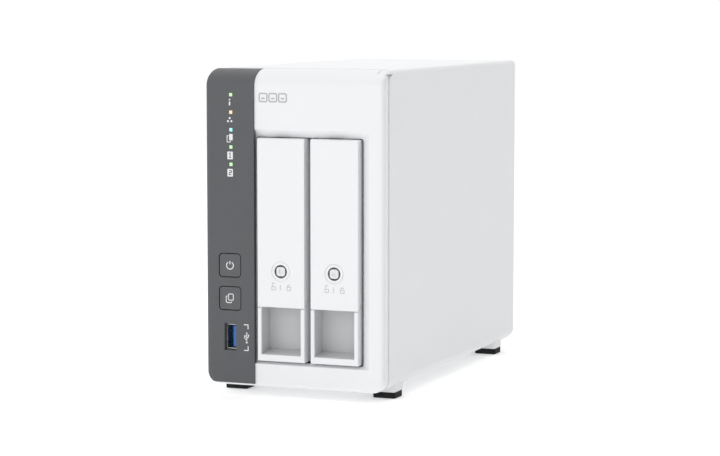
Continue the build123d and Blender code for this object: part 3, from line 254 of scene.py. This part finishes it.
def lit_lens(name, colour, glow):
    """A diffusing lens with a light behind it, a little brighter in patches where the light sits."""
    material, tree, shader = new_material(name)
    patches = noise(tree, 700.0, 1.0)
    tint = ramp(tree, patches, scaled(colour, 0.86), colour)
    tree.links.new(tint, shader.inputs["Base Color"])
    tree.links.new(tint, shader.inputs["Emission Color"])
    shader.inputs["Emission Strength"].default_value = glow
    tree.links.new(span(tree, noise(tree, 2000.0), 0.16, 0.28), shader.inputs["Roughness"])
    bump(tree, shader, noise(tree, 3000.0), 0.1, 0.02 * MM)
    return material


def screen_print(name, colour):
    """Ink: dense, matt, with a slightly uneven film."""
    material, tree, shader = new_material(name)
    film = noise(tree, 1800.0, 3.0)
    tree.links.new(ramp(tree, film, scaled(colour, 0.94), colour), shader.inputs["Base Color"])
    tree.links.new(span(tree, film, 0.5, 0.66), shader.inputs["Roughness"])
    bump(tree, shader, film, 0.2, 0.01 * MM)
    return material


WHITE = moulded("white_moulding", (0.86, 0.87, 0.885), 0.40, 0.006)
SHELL = moulded("shell_moulding", (0.83, 0.84, 0.85), 0.46, 0.008, 3600.0, 0.07)
DARK = moulded("dark_moulding", (0.092, 0.095, 0.102), 0.50, 0.03, 3800.0, 0.06)
DARK_BUTTON = moulded("dark_button_moulding", (0.096, 0.099, 0.106), 0.44, 0.03, 4200.0, 0.04)
# painted shade: a mid-grey for the sheet in the tray's finger pocket, darker than the white tray, standing in
# for the shade in the recess
POCKET_SHADE = moulded("pocket_painted_shade", (0.60, 0.61, 0.62), 0.48, 0.02, 3600.0, 0.07)
COLLAR = moulded("collar_moulding", (0.055, 0.056, 0.058), 0.40, 0.05)
BLACK = moulded("black_moulding", (0.016, 0.016, 0.017), 0.42, 0.10, 2600.0, 0.06)
CHIP = moulded("chip_moulding", (0.022, 0.022, 0.024), 0.52, 0.14, 3200.0, 0.05)
LOCK_LIGHT = moulded("lock_moulding", (0.80, 0.81, 0.82), 0.34, 0.01)
USB_BLUE = moulded("blue_moulding", (0.010, 0.160, 0.520), 0.30, 0.08, 2000.0, 0.03, 0.3)
STICKER = moulded("sticker", (0.74, 0.75, 0.76), 0.50, 0.02, 5000.0, 0.02)
RUBBER = rubber("rubber_pad")
CAGE_STEEL = spangled_steel("galvanised_sheet")
SOCKET_STEEL = sheet_metal("socket_sheet", (0.66, 0.66, 0.64), 0.26)
LID_STEEL = sheet_metal("lid_sheet", (0.62, 0.63, 0.65), 0.30, (1, 12, 1), 300.0)
SINK = sheet_metal("sink_metal", (0.60, 0.61, 0.63), 0.34, (1, 16, 1), 500.0)
SCREW = sheet_metal("screw_plating", (0.56, 0.56, 0.57), 0.24, (1, 1, 1), 1500.0)
CELL = sheet_metal("cell_plating", (0.70, 0.70, 0.69), 0.20, (1, 1, 1), 900.0)
BRONZE = sheet_metal("sintered_bronze", (0.50, 0.33, 0.14), 0.42, (1, 1, 1), 2200.0)
GOLD = sheet_metal("gold_contacts", (0.83, 0.62, 0.24), 0.22, (1, 8, 1), 1500.0)
CASTING = cast_metal("cast_skin", (0.46, 0.47, 0.48))
BOARD = solder_mask("solder_mask")
GREEN_LIT = lit_lens("lens_green_lit", (0.50, 0.86, 0.42), 0.45)
ORANGE_LIT = lit_lens("lens_orange_lit", (1.00, 0.66, 0.42), 0.45)
CYAN_LIT = lit_lens("lens_cyan_lit", (0.38, 0.86, 0.98), 0.45)
WHITE_INK = screen_print("white_ink", (0.86, 0.87, 0.88))
DARK_INK = screen_print("dark_ink", (0.10, 0.10, 0.11))
PALE_INK = screen_print("pale_grey_ink", (0.48, 0.49, 0.50))
FAINT_INK = screen_print("faint_grey_ink", (0.52, 0.53, 0.54))

NODE_LOOKS = {
    "front_bezel": WHITE, "front_panel": DARK, "top_cover": WHITE, "side_shell": SHELL,
    "rear_panel": SHELL, "rubber_feet": RUBBER, "drive_cage": CAGE_STEEL, "tray_guides": BLACK,
    "backplane_board": BOARD, "sata_sockets": BLACK, "case_screws": SCREW, "cage_screws": SCREW,
    "status_lens": GREEN_LIT, "network_lens": ORANGE_LIT, "usb_lens": CYAN_LIT,
    "drive_1_lens": GREEN_LIT, "drive_2_lens": GREEN_LIT, "main_board": BOARD, "board_chips": CHIP,
    "board_screws": SCREW, "heat_sink": SINK, "cell_holder": BLACK, "coin_cell": CELL,
    "lan_socket_1": SOCKET_STEEL, "lan_socket_2": SOCKET_STEEL, "rear_usb_shells": SOCKET_STEEL,
    "rear_usb_tongues": USB_BLUE, "front_usb_shell": SOCKET_STEEL, "front_usb_tongue": USB_BLUE,
    "power_jack": BLACK, "indicator_board": BOARD, "tact_switches": BLACK, "power_button": DARK_BUTTON,
    "copy_button": DARK_BUTTON, "reset_button": BLACK, "fan_frame": BLACK, "fan_bearing": BRONZE,
    "fan_rotor": BLACK, "fan_screws": SCREW,
}
TRAY_LOOKS = {
    "tray_frame": WHITE, "tray_lever": WHITE, "lever_pin": SCREW, "lock_collar": COLLAR, "lock_plug": LOCK_LIGHT,
    "drive_body": CASTING, "drive_lid": LID_STEEL, "drive_board": BOARD, "drive_connector": BLACK,
    "drive_screws": SCREW,
}
SIDES = ("left", "right")


def dress(name, material):
    """Gives a CAD node its material, on the object's own slots."""
    thing = nodes[name]
    if not thing.material_slots:
        thing.data.materials.append(material)
    for slot in thing.material_slots:
        slot.link = "OBJECT"
        slot.material = material


def dress_all():
    """Gives every CAD node its material."""
    for name, material in NODE_LOOKS.items():
        dress(name, material)
    for side in SIDES:
        for name, material in TRAY_LOOKS.items():
            dress(f"{side}_{name}", material)


# ================= mesh helpers =================

def middle(name):
    """The middle of a node's box."""
    low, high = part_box(name)
    return (Vector(low) + Vector(high)) / 2


def finish_piece(mesh, name, material, body):
    """Turns a mesh into a piece that rides on a body and has a slot."""
    data = bpy.data.meshes.new(name)
    bmesh.ops.recalc_face_normals(mesh, faces=mesh.faces)
    mesh.to_mesh(data)
    mesh.free()
    piece = bpy.data.objects.new(name, data)
    bpy.context.scene.collection.objects.link(piece)
    data.materials.append(material)
    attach(piece, body)


def prism(mesh, outline, near, far, along="y"):
    """Adds a closed prism between two depths: (x, z) outlines along y, (y, z) along x, (y, x) along z."""
    def point(a, b, depth):
        return {"x": (depth, a, b), "y": (a, depth, b), "z": (b, a, depth)}[along]
    front = [mesh.verts.new(point(a, b, near)) for a, b in outline]
    back = [mesh.verts.new(point(a, b, far)) for a, b in outline]
    mesh.faces.new(front)
    mesh.faces.new(list(reversed(back)))
    count = len(outline)
    for k in range(count):
        mesh.faces.new((front[k], back[k], back[(k + 1) % count], front[(k + 1) % count]))


def ribbon(points, width, closed=False):
    """Quads of a line of even width along points, with mitred corners."""
    count = len(points)
    left, right = [], []
    for k, point in enumerate(points):
        here = Vector(point)
        before = Vector(points[k - 1]) if closed or k > 0 else None
        after = Vector(points[(k + 1) % count]) if closed or k < count - 1 else None
        way_in = (here - before).normalized() if before is not None else (after - here).normalized()
        way_out = (after - here).normalized() if after is not None else way_in
        normal = Vector((-(way_in + way_out).y, (way_in + way_out).x)).normalized()
        reach = width / 2 / max(0.35, normal.dot(Vector((-way_in.y, way_in.x))))
        left.append(here + normal * reach)
        right.append(here - normal * reach)
    last = count if closed else count - 1
    return [(left[k], right[k], right[(k + 1) % count], left[(k + 1) % count]) for k in range(last)]


def arc(centre, radius, start, end, steps=20):
    """Points of an arc from start to end, in degrees from +x towards +z."""
    turns = [math.radians(start + (end - start) * k / steps) for k in range(steps + 1)]
    return [(centre[0] + radius * math.cos(t), centre[1] + radius * math.sin(t)) for t in turns]


def rounded_box(low, high, radius, steps=6):
    """The outline of a rectangle with rounded corners."""
    corners = (((high[0] - radius, high[1] - radius), 0), ((low[0] + radius, high[1] - radius), 90),
               ((low[0] + radius, low[1] + radius), 180), ((high[0] - radius, low[1] + radius), 270))
    outline = []
    for centre, start in corners:
        outline += arc(centre, radius, start, start + 90, steps)
    return outline


class Print:
    """Ink shapes on a face that looks along -Y. Sizes are millimetres from an origin on that face."""

    def __init__(self, x, y_face, z, raise_by=0.0):
        self.mesh = bmesh.new()
        self.x, self.y, self.z = x, y_face - raise_by * MM, z

    def place(self, outline):
        """An outline in millimetres from the origin, turned into metres in the scene."""
        return [(self.x + a * MM, self.z + b * MM) for a, b in outline]

    def area(self, outline):
        """A filled outline."""
        prism(self.mesh, self.place(outline), self.y - PRINT_THICK * MM, self.y + PRINT_SINK * MM)

    def line(self, points, width, closed=False):
        """A line of even width through points."""
        for quad in ribbon(points, width, closed):
            self.area([tuple(corner) for corner in quad])

    def disc(self, centre, radius, steps=20):
        """A filled circle."""
        self.area(arc(centre, radius, 0, 360 * (steps - 1) / steps, steps - 1))

    def done(self, name, material, body):
        """Makes the piece out of everything printed so far."""
        finish_piece(self.mesh, name, material, body)


# ================= prints =================

def panel_face():
    """The y of the dark panel's face."""
    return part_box("front_panel")[0][1]


def lens_centre(name):
    """The x and z of an indicator lens."""
    spot = middle(f"{name}_lens")
    return spot.x, spot.z


def print_status_marks():
    """The marks under the five indicator lenses."""
    x, z = lens_centre("status")
    mark = Print(x, panel_face(), z)
    mark.disc((-0.6, -2.6), 0.45)
    mark.area(rounded_box((-1.0, -5.7), (-0.2, -3.6), 0.25))
    mark.done("information_mark", WHITE_INK, "case")
    x, z = lens_centre("network")
    mark = Print(x, panel_face(), z)
    for spot in ((-0.58, -3.1), (-1.6, -4.75), (0.4, -4.75)):
        mark.disc(spot, 0.56)
    mark.done("network_mark", WHITE_INK, "case")
    x, z = lens_centre("usb")
    mark = Print(x, panel_face(), z)
    mark.area(rounded_box((-0.95, -5.6), (1.1, -2.2), 0.3))
    mark.line([(-1.3, -3.2), (-2.15, -3.2), (-2.15, -6.5), (-0.3, -6.5), (-0.3, -5.9)], STATUS_LINE)
    mark.done("copy_mark", WHITE_INK, "case")
    for number in (1, 2):
        print_drive_number(number)


def print_drive_number(number):
    """A white tile with a dark digit."""
    x, z = lens_centre(f"drive_{number}")
    tile = Print(x, panel_face(), z)
    tile.area(rounded_box((-2.05, -6.5), (1.15, -2.4), 0.35))
    tile.done(f"drive_tile_{number}", WHITE_INK, "case")
    digit = Print(x, panel_face(), z, PRINT_THICK)
    if number == 1:
        digit.line([(-1.0, -3.6), (-0.45, -3.15), (-0.45, -5.35)], DIGIT_LINE)
        digit.line([(-1.05, -5.6), (0.2, -5.6)], DIGIT_LINE)
    else:
        stroke = [(-1.15, -3.4), (0.25, -3.4), (0.25, -4.4), (-1.05, -4.5), (-1.05, -5.55), (0.35, -5.55)]
        digit.line(stroke, DIGIT_LINE)
    digit.done(f"drive_digit_{number}", DARK_INK, "case")


def print_buttons():
    """The signs on the power and copy buttons' caps."""
    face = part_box("power_button")[0][1]
    spot = middle("power_button")
    mark = Print(spot.x, face, spot.z)
    mark.line(arc((0, -0.1), 2.0, 122, 418, 30), BUTTON_LINE)
    mark.line([(0, 0.5), (0, 2.3)], BUTTON_LINE)
    mark.done("power_mark", WHITE_INK, "power_button")
    spot = middle("copy_button")
    mark = Print(spot.x, face, spot.z)
    mark.line(rounded_box((-1.0, -1.0), (1.9, 2.3), 0.6, 4), 0.42, True)
    mark.line([(-1.55, 1.2), (-2.3, 0.9), (-2.3, -1.9), (-1.7, -2.35), (0.6, -2.35), (1.0, -1.75)], 0.42)
    mark.done("duplicate_mark", WHITE_INK, "copy_button")


def print_port_marks():
    """Two corner brackets beside the front socket, with a generic three-way port sign between them."""
    spot = middle("front_usb_shell")
    mark = Print(spot.x, panel_face(), spot.z)
    for way in (1, -1):
        bracket = [(BRACKET_IN, way * BRACKET_HIGH), (BRACKET_OUT, way * BRACKET_HIGH),
                   (BRACKET_OUT, way * BRACKET_TURN)]
        mark.line(bracket, BUTTON_LINE)
    mark.line([(9.6, -2.7), (9.6, 2.3)], 0.45)
    mark.area([(9.0, 1.9), (10.2, 1.9), (9.6, 3.1)])
    mark.disc((9.6, -2.6), 0.6)
    mark.line([(9.6, -1.5), (8.5, -0.4), (8.5, 0.5)], 0.4)
    mark.line([(9.6, -0.6), (10.6, 0.4), (10.6, 1.1)], 0.4)
    mark.area([(8.1, 0.4), (8.9, 0.4), (8.9, 1.2), (8.1, 1.2)])
    mark.disc((10.6, 1.3), 0.42)
    mark.done("port_mark", WHITE_INK, "case")


def print_bezel_mark():
    """A generic mark above the bays: three small outlined drives in a row."""
    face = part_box("front_bezel")[0][1]
    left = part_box("front_panel")[1][0]
    high = middle("status_lens").z
    mark = Print(left, face, high)
    for k in range(BEZEL_MARKS):
        x = BEZEL_MARK_FIRST + k * BEZEL_MARK_PITCH
        mark.line(rounded_box((x, -3.4), (x + BEZEL_MARK_WIDE, 0.9), 0.8, 4), 0.75, True)
        mark.area(rounded_box((x + 1.2, -2.1), (x + 3.2, -1.3), 0.3, 3))
    mark.done("bezel_mark", PALE_INK, "case")


def print_lock_signs(side):
    """Open and closed padlocks under a lever's lock, with a bar between them."""
    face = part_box(f"{side}_tray_lever")[0][1]
    lock = middle(f"{side}_lock_collar")
    sign = Print(lock.x, face, lock.z)
    for x, lift in ((-5.2, 0.9), (3.6, 0.0)):
        sign.line(rounded_box((x, -9.9), (x + 2.1, -8.2), 0.2, 2), 0.32, True)
        bow = arc((x + 1.05, -7.6 + lift), 0.65, 180, 0, 8)
        sign.line([(x + 0.4, -8.1), (x + 0.4, -7.6 + lift), *bow], 0.3)
    sign.line([(-0.2, -9.9), (-0.2, -7.0)], 0.32)
    sign.done(f"{side}_lock_signs", FAINT_INK, f"{side}_lever")


# ================= sockets and other small pieces =================

def make_lan_contacts(name):
    """Eight sprung wires in a network socket's mouth."""
    low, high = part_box(name)
    mesh = bmesh.new()
    half = LAN_WIRE * MM / 2
    centre = (low[2] + high[2]) / 2
    root, tip = low[0] + LAN_ROOT_UP * MM, low[0] + LAN_TIP_UP * MM
    root_y, tip_y = high[1] - LAN_ROOT_IN * MM, high[1] - LAN_TIP_IN * MM
    deep = LAN_WIRE_DEEP * MM
    outline = [(root_y - deep, root), (root_y, root), (tip_y, tip), (tip_y - deep, tip)]
    for k in range(LAN_WIRES):
        z = centre + (k - (LAN_WIRES - 1) / 2) * LAN_PITCH * MM
        prism(mesh, outline, z - half, z + half, along="z")
    finish_piece(mesh, f"{name}_contacts", GOLD, "case")


def make_usb_contacts():
    """Four gold strips on the face of the front socket's tongue."""
    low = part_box("front_usb_tongue")[0]
    centre = middle("front_usb_tongue").z
    mesh = bmesh.new()
    x = low[0] + USB_FACE_IN * MM
    near, far = (low[1] + y * MM for y in USB_STRIP_Y)
    half = USB_STRIP_HALF * MM
    for k in range(USB_STRIPS):
        z = centre + (k - (USB_STRIPS - 1) / 2) * USB_STRIP_PITCH * MM
        strip = [(near, z - half), (far, z - half), (far, z + half), (near, z + half)]
        prism(mesh, strip, x - 0.12 * MM, x + 0.05 * MM, along="x")
    finish_piece(mesh, "front_usb_tongue_contacts_1", GOLD, "case")


def make_pocket_shade_sheet(side):
    """Painted shade: a thin grey sheet on the walls, back and floor of a tray's finger pocket, darker than the
    white tray, standing in for the shade in the recess.
    """
    low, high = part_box(f"{side}_tray_frame")
    lever_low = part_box(f"{side}_tray_lever")[0]
    centre = middle(f"{side}_lock_collar").x
    half = TRAY_WIDE / 2 * MM - POCKET_SIDE * MM
    front, back = low[1] + POCKET_LIP * MM, low[1] + POCKET_DEEP * MM
    floor, top = low[2] + POCKET_STEP * MM, lever_low[2]
    rise = (back - front) * math.tan(math.radians(SEAM_SLOPE))
    thick = SHADE_SHEET_THICK * MM
    left, right = centre - half + thick, centre + half - thick
    mesh = bmesh.new()
    wall = [(front, floor), (back, floor), (back, top + rise), (front, top - thick)]
    for wall_x in (centre - half, right):
        prism(mesh, wall, wall_x, wall_x + thick, along="x")
    rear = [(left, floor), (right, floor), (right, top + rise), (left, top + rise)]
    prism(mesh, rear, back - thick, back)
    floor_rear = floor + thick + SHADE_SHEET_FLOOR_RISE * MM
    wedge = [(front, floor), (back - thick, floor), (back - thick, floor_rear), (front, floor + thick)]
    prism(mesh, wedge, left, right, along="x")
    finish_piece(mesh, f"{side}_pocket_shade_sheet", POCKET_SHADE, f"{side}_tray")


def make_drive_label(side):
    """A blank label on the drive's lid."""
    low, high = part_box(f"{side}_drive_lid")
    mesh = bmesh.new()
    y, z = low[1] + LABEL_INSET * MM, low[2] + LABEL_INSET * MM
    outline = rounded_box((y, z), (y + LABEL_SIZE[0] * MM, z + LABEL_SIZE[1] * MM), LABEL_ROUND * MM)
    prism(mesh, outline, high[0] - 0.02 * MM, high[0] + 0.08 * MM, along="x")
    finish_piece(mesh, f"{side}_drive_label", STICKER, f"{side}_tray")


# ================= light, floor, camera =================

def make_stage():
    """A pale floor that glows a little, so that it stays white far from the lights."""
    mesh = bmesh.new()
    signs = ((-1, -1), (1, -1), (1, 1), (-1, 1))
    mesh.faces.new([mesh.verts.new((x * FLOOR_HALF, y * FLOOR_HALF, 0.0)) for x, y in signs])
    data = bpy.data.meshes.new("floor")
    mesh.to_mesh(data)
    mesh.free()
    floor = bpy.data.objects.new("floor", data)
    bpy.context.scene.collection.objects.link(floor)
    material, tree, shader = new_material("pale_floor")
    tint = ramp(tree, noise(tree, 3.0), (0.92, 0.92, 0.92), (0.95, 0.95, 0.95))
    tree.links.new(tint, shader.inputs["Base Color"])
    shader.inputs["Roughness"].default_value = 0.9
    shader.inputs["Emission Color"].default_value = (1, 1, 1, 1)
    shader.inputs["Emission Strength"].default_value = FLOOR_GLOW
    data.materials.append(material)


def smooth_step(tree, value, reach, strengths):
    """A value mapped smoothly from one range of numbers to another."""
    step = tree.nodes.new("ShaderNodeMapRange")
    step.interpolation_type = "SMOOTHSTEP"
    step.inputs["From Min"].default_value, step.inputs["From Max"].default_value = reach
    step.inputs["To Min"].default_value, step.inputs["To Max"].default_value = strengths
    tree.links.new(value, step.inputs["Value"])
    return step.outputs["Result"]


def make_world():
    """A white surround, dimmer from the right, so that the case's right side is a shade darker."""
    world = bpy.data.worlds.new("studio")
    bpy.context.scene.world = world
    world.use_nodes = True
    tree = world.node_tree
    tree.nodes.clear()
    output = tree.nodes.new("ShaderNodeOutputWorld")
    background = tree.nodes.new("ShaderNodeBackground")
    coords = tree.nodes.new("ShaderNodeTexCoord")
    split = tree.nodes.new("ShaderNodeSeparateXYZ")
    background.inputs["Color"].default_value = (1, 1, 1, 1)
    tree.links.new(coords.outputs["Generated"], split.inputs[0])
    sideways = smooth_step(tree, split.outputs["X"], SIDE_FADE, (WORLD_BRIGHT, WORLD_DIM))
    rearward = smooth_step(tree, split.outputs["Y"], REAR_FADE, (1.0, WORLD_BEHIND))
    product = tree.nodes.new("ShaderNodeMath")
    product.operation = "MULTIPLY"
    tree.links.new(sideways, product.inputs[0])
    tree.links.new(rearward, product.inputs[1])
    tree.links.new(product.outputs[0], background.inputs["Strength"])
    tree.links.new(background.outputs[0], output.inputs[0])


def area_light(name, place, target, size, power):
    """A square light that looks at a target."""
    data = bpy.data.lights.new(name, "AREA")
    data.energy = power
    data.size = size
    light = bpy.data.objects.new(name, data)
    bpy.context.scene.collection.objects.link(light)
    light.location = place
    light.rotation_mode = "QUATERNION"
    light.rotation_quaternion = (Vector(target) - Vector(place)).to_track_quat("-Z", "Y")


def make_lights():
    """One large light in front on the left, and one overhead."""
    centre = (Vector(cad_low) + Vector(cad_high)) / 2
    area_light("front_softbox", FRONT_LIGHT_PLACE, centre, LIGHT_SIZE, FRONT_LIGHT_POWER)
    area_light("top_softbox", TOP_LIGHT_PLACE, centre, LIGHT_SIZE, TOP_LIGHT_POWER)


def make_camera():
    """A camera turned by its azimuth and elevation, with no roll."""
    data = bpy.data.cameras.new("camera")
    data.sensor_fit = "HORIZONTAL"
    data.sensor_width = SENSOR_WIDTH
    data.lens = CAMERA_LENS
    camera = bpy.data.objects.new("camera", data)
    bpy.context.scene.collection.objects.link(camera)
    yaw, pitch = math.radians(CAMERA_AZIMUTH), math.radians(CAMERA_ELEVATION)
    back = Vector((math.sin(yaw) * math.cos(pitch), -math.cos(yaw) * math.cos(pitch), math.sin(pitch)))
    camera.location = CAMERA_PLACE
    camera.rotation_mode = "QUATERNION"
    camera.rotation_quaternion = (-back).to_track_quat("-Z", "Y")
    bpy.context.scene.camera = camera


# ================= the scene =================

make_camera()
make_world()
make_lights()
make_stage()
dress_all()
print_status_marks()
print_buttons()
print_port_marks()
print_bezel_mark()
for side in SIDES:
    print_lock_signs(side)
    make_drive_label(side)
    make_pocket_shade_sheet(side)
for socket in ("lan_socket_1", "lan_socket_2"):
    make_lan_contacts(socket)
make_usb_contacts()
bpy.context.scene.view_settings.view_transform = "Standard"
